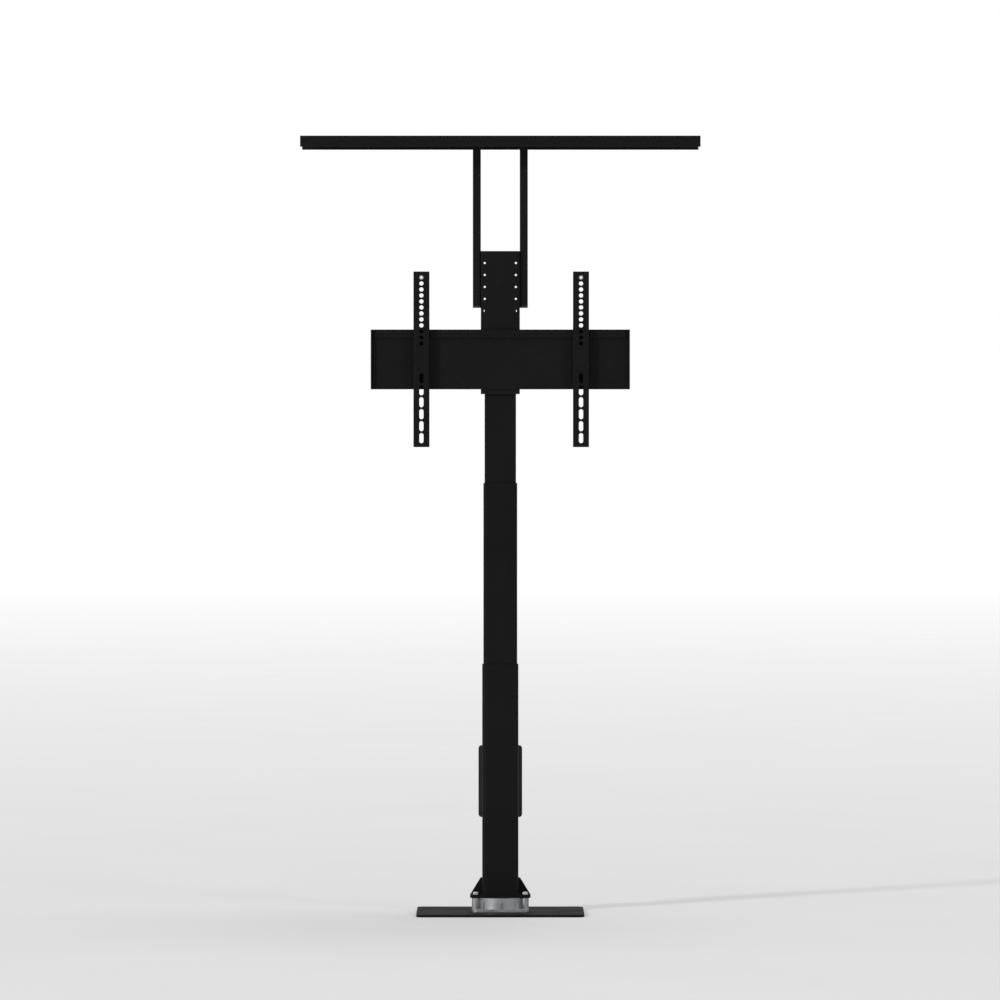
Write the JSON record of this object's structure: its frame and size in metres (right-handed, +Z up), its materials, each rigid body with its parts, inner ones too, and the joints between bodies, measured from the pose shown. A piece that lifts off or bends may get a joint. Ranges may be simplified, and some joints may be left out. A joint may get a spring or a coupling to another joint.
{
  "type": "tv lift mechanism",
  "caption": "Motorised TV lift: a telescoping steel column on a base plate, raised by a nested screw drive, carrying slotted screen arms on a wide panel and a shallow tray on posts.",
  "frame": {"origin": "centre of the base plate's underside, under the column's axis", "axes": "+Z up along the column, -Y towards the screen's front, +X to the right seen from the front"},
  "size_m": [1, 0.32, 1.9505],
  "materials": {
    "black_coat": "fine textured black powder coat",
    "black_screws": "black oxide",
    "motor_black": "satin black lacquer",
    "black_plastic": "fine spark-eroded grain",
    "nylon": "natural nylon",
    "cast_aluminium": "bead-blasted die casting",
    "zinc": "bright zinc plate",
    "steel": "ground steel",
    "bronze": "turned bronze",
    "circuit_board": "green solder mask"
  },
  "bodies": {
    "base": {"base_plate": "black_coat", "drive_housing": "cast_aluminium", "housing_cover": "zinc", "column_foot": "black_coat", "foot_bolts": "zinc", "base_tube": "black_coat", "base_glide": "nylon", "lower_bearing": "steel", "motor_can": "motor_black", "motor_cap": "black_plastic", "motor_screws": "zinc", "control_box_tray": "black_plastic", "control_board": "circuit_board", "control_box_cover": "black_plastic", "control_box_screws": "zinc", "control_sockets": "black_plastic"},
    "lower_screw": {"drive_screw": "steel", "drive_gear": "steel"},
    "motor_rotor": {"motor_pinion": "steel"},
    "mid_stage": {"mid_tube": "black_coat", "mid_plug": "black_plastic", "mid_plug_screws": "zinc", "mid_nut": "bronze", "mid_bearing": "steel", "mid_foot_glide": "nylon", "mid_glide": "nylon"},
    "upper_screw": {"hollow_screw": "steel", "screw_coupler": "bronze"},
    "top_stage": {"top_tube": "black_coat", "top_plug": "black_plastic", "top_plug_screws": "zinc", "top_nut": "bronze", "top_foot_glide": "nylon", "top_block": "cast_aluminium", "head_saddle": "black_coat", "saddle_screws": "zinc", "carrier_bracket": "black_coat", "mount_panel": "black_coat", "hook_rail": "black_coat", "panel_screws": "black_coat", "left_post": "black_coat", "right_post": "black_coat", "post_end_plugs": "black_plastic", "post_screws": "black_screws", "post_nuts": "zinc", "post_pads": "black_coat", "top_tray": "black_coat", "tray_screws": "zinc"},
    "arm_left": {"left_arm": "black_coat", "left_lock_bar": "black_coat", "left_arm_insert": "zinc"},
    "lock_left": {"left_lock_screw": "black_plastic"},
    "arm_right": {"right_arm": "black_coat", "right_lock_bar": "black_coat", "right_arm_insert": "zinc"},
    "lock_right": {"right_lock_screw": "black_plastic"}
  },
  "joints": [
    {"name": "lower_stage_slide", "type": "slide", "parent": "base", "child": "mid_stage", "axis": [0, 0, 1], "range_m": [-0.45, 0]},
    {"name": "upper_stage_slide", "type": "slide", "parent": "mid_stage", "child": "top_stage", "axis": [0, 0, 1], "range_m": [-0.4502, 0.0002]},
    {"name": "lower_screw_spin", "type": "hinge", "parent": "base", "child": "lower_screw", "pos_m": [0, 0, 0.1], "axis": [0, 0, 1], "range_deg": [-5, 9005]},
    {"name": "upper_screw_spin", "type": "hinge", "parent": "mid_stage", "child": "upper_screw", "pos_m": [0, 0, 0.6], "axis": [0, 0, 1], "range_deg": [-5, 9005]},
    {"name": "motor_spin", "type": "hinge", "parent": "base", "child": "motor_rotor", "pos_m": [0, 0.062, 0.03], "axis": [0, 0, 1], "range_deg": [-30877, 20]},
    {"name": "arm_left_slide", "type": "slide", "parent": "top_stage", "child": "arm_left", "axis": [1, 0, 0], "range_m": [-0.1023, 0.0977]},
    {"name": "lock_left_turn", "type": "hinge", "parent": "arm_left", "child": "lock_left", "pos_m": [-0.1977, -0.03, 1.463], "axis": [0, 1, 0], "range_deg": [0, 720]},
    {"name": "arm_right_slide", "type": "slide", "parent": "top_stage", "child": "arm_right", "axis": [1, 0, 0], "range_m": [-0.1023, 0.0977]},
    {"name": "lock_right_turn", "type": "hinge", "parent": "arm_right", "child": "lock_right", "pos_m": [0.2023, -0.03, 1.463], "axis": [0, 1, 0], "range_deg": [0, 720]}
  ],
  "couplings": [
    {"joint": "upper_stage_slide", "follows": "lower_stage_slide", "ratio": 1},
    {"joint": "lower_screw_spin", "follows": "lower_stage_slide", "rad_per_m": -349.07},
    {"joint": "upper_screw_spin", "follows": "lower_stage_slide", "rad_per_m": -349.07},
    {"joint": "motor_spin", "follows": "lower_stage_slide", "rad_per_m": 1196.8}
  ]
}
